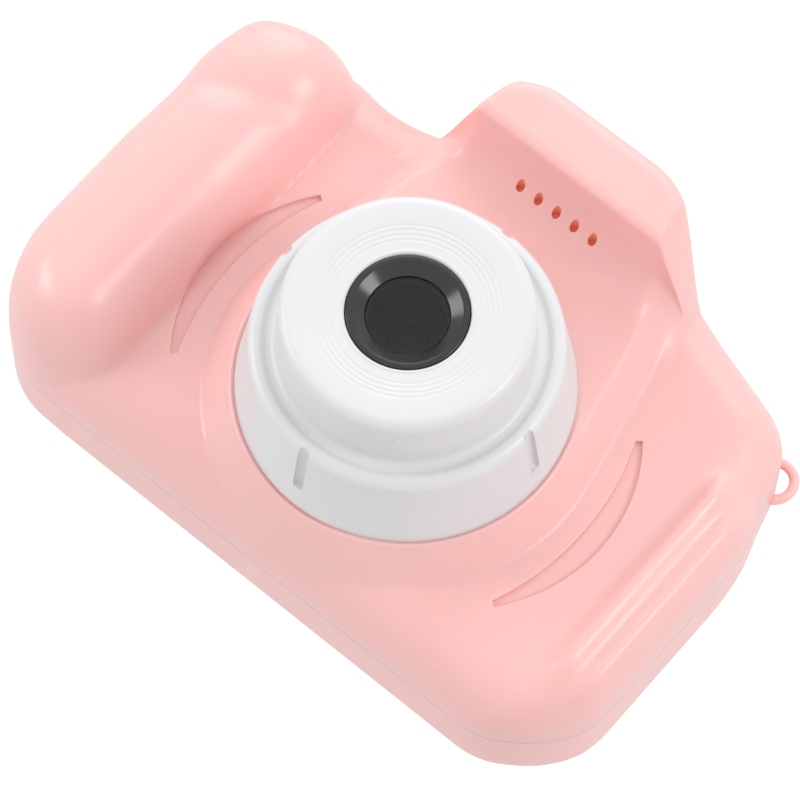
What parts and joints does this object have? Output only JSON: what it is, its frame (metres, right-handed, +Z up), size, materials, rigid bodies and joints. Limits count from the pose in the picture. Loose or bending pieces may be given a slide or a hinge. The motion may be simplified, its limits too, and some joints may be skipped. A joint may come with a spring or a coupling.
{
  "type": "kids digital camera",
  "caption": "Small moulded toy digital camera with a stepped lens ring, side grip, raised brow, rear screen, sprung keys and a sliding memory card.",
  "frame": {"origin": "point on the flat underside of the rear cover, below the lens axis and 3 mm behind the plane where the two covers meet", "axes": "+X runs across the camera from the grip to the strap eyelet, +Y from the lens to the screen, +Z up"},
  "size_m": [0.0837, 0.0429, 0.0581],
  "materials": {
    "pink_plastic": "semi-gloss moulded ABS",
    "white_plastic": "semi-gloss moulded ABS",
    "black_plastic": "glossy black moulding",
    "smoked_window": "polished dark acrylic",
    "coated_glass": "coated lens glass",
    "circuit_board": "solder-masked glass fibre",
    "plated_steel": "nickel plated",
    "display_module": "thin metal frame round glass",
    "battery_foil": "laminated foil pouch",
    "flat_cable": "amber film",
    "red_wire": "soft insulation",
    "black_wire": "soft insulation"
  },
  "bodies": {
    "camera": {"battery": "battery_foil", "battery_lead_black": "black_wire", "battery_lead_red": "red_wire", "board_screw_1": "plated_steel", "board_screw_2": "plated_steel", "board_screw_3": "plated_steel", "board_screw_4": "plated_steel", "card_socket": "plated_steel", "case_screw_1": "plated_steel", "case_screw_2": "plated_steel", "case_screw_3": "plated_steel", "case_screw_4": "plated_steel", "front_cover": "pink_plastic", "lcd_frame": "white_plastic", "lcd_panel": "display_module", "lens_barrel": "white_plastic", "lens_bezel": "black_plastic", "lens_collar": "white_plastic", "lens_element": "coated_glass", "lens_holder": "black_plastic", "lens_window": "smoked_window", "main_board": "circuit_board", "microphone": "plated_steel", "power_board": "circuit_board", "power_switch": "black_plastic", "processor": "black_plastic", "rear_cover": "pink_plastic", "screen_window": "smoked_window", "sensor_board": "circuit_board", "sensor_chip": "black_plastic", "sensor_ribbon": "flat_cable", "shutter_board": "circuit_board", "shutter_switch": "black_plastic", "speaker": "black_plastic", "speaker_lead_black": "black_wire", "speaker_lead_red": "red_wire", "switch_down": "black_plastic", "switch_left": "black_plastic", "switch_ok": "black_plastic", "switch_right": "black_plastic", "switch_up": "black_plastic", "usb_socket": "plated_steel"},
    "shutter": {"shutter_button": "pink_plastic"},
    "power": {"power_button": "pink_plastic"},
    "up_key": {"key_up": "white_plastic"},
    "down_key": {"key_down": "white_plastic"},
    "left_key": {"key_left": "white_plastic"},
    "right_key": {"key_right": "white_plastic"},
    "ok_key": {"key_ok": "white_plastic"},
    "card": {"memory_card": "black_plastic"}
  },
  "joints": [
    {"name": "shutter_press", "type": "slide", "parent": "camera", "child": "shutter", "axis": [0, 0, -1], "range_m": [0, 0.0006], "stiffness_N_per_m": 500, "springref_m": -0.0003},
    {"name": "power_press", "type": "slide", "parent": "camera", "child": "power", "axis": [-0.2992, 0, -0.9542], "range_m": [0, 0.0006], "stiffness_N_per_m": 500, "springref_m": -0.0003},
    {"name": "up_press", "type": "slide", "parent": "camera", "child": "up_key", "axis": [0, -1, 0], "range_m": [0, 0.0006], "stiffness_N_per_m": 400, "springref_m": -0.0003},
    {"name": "down_press", "type": "slide", "parent": "camera", "child": "down_key", "axis": [0, -1, 0], "range_m": [0, 0.0006], "stiffness_N_per_m": 400, "springref_m": -0.0003},
    {"name": "left_press", "type": "slide", "parent": "camera", "child": "left_key", "axis": [0, -1, 0], "range_m": [0, 0.0006], "stiffness_N_per_m": 400, "springref_m": -0.0003},
    {"name": "right_press", "type": "slide", "parent": "camera", "child": "right_key", "axis": [0, -1, 0], "range_m": [0, 0.0006], "stiffness_N_per_m": 400, "springref_m": -0.0003},
    {"name": "ok_press", "type": "slide", "parent": "camera", "child": "ok_key", "axis": [0, -1, 0], "range_m": [0, 0.0006], "stiffness_N_per_m": 400, "springref_m": -0.0003},
    {"name": "card_slide", "type": "slide", "parent": "camera", "child": "card", "axis": [-1, 0, 0], "range_m": [0, 0.016]}
  ]
}
